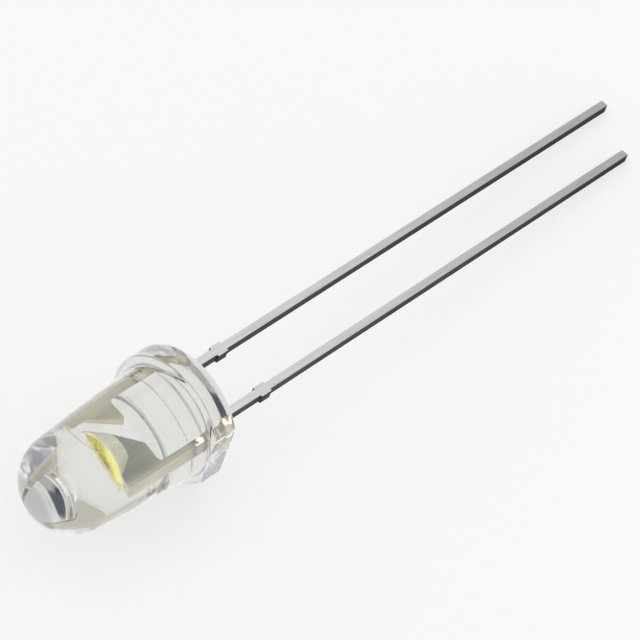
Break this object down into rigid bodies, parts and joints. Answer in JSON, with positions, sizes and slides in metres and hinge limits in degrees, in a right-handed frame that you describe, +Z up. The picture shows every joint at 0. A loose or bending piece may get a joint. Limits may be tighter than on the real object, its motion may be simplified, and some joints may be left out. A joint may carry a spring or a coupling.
{
  "type": "through hole led",
  "caption": "Round domed clear LED with a flanged base, a flat on the flange, and long straight leads.",
  "frame": {"origin": "centre of the flange's back face, where the LED seats on a board", "axes": "+Z up as the LED lies at rest; +X along the leads, away from the dome; +Y towards the anode's side"},
  "size_m": [0.0369, 0.0055, 0.0059],
  "materials": {
    "clear_epoxy": "clear, moulded",
    "plated_steel": "silver-plated, satin",
    "chip": "polished",
    "chip_glue": "cured glue",
    "phosphor": "yellow, powdery",
    "bond_wire": "bright drawn wire"
  },
  "bodies": {
    "root": {"epoxy_lens": "clear_epoxy", "anode_lead": "plated_steel", "cathode_lead": "plated_steel", "chip": "chip", "chip_glue": "chip_glue", "phosphor_fill": "phosphor", "anode_bond_wire": "bond_wire", "cathode_bond_wire": "bond_wire"}
  },
  "joints": []
}
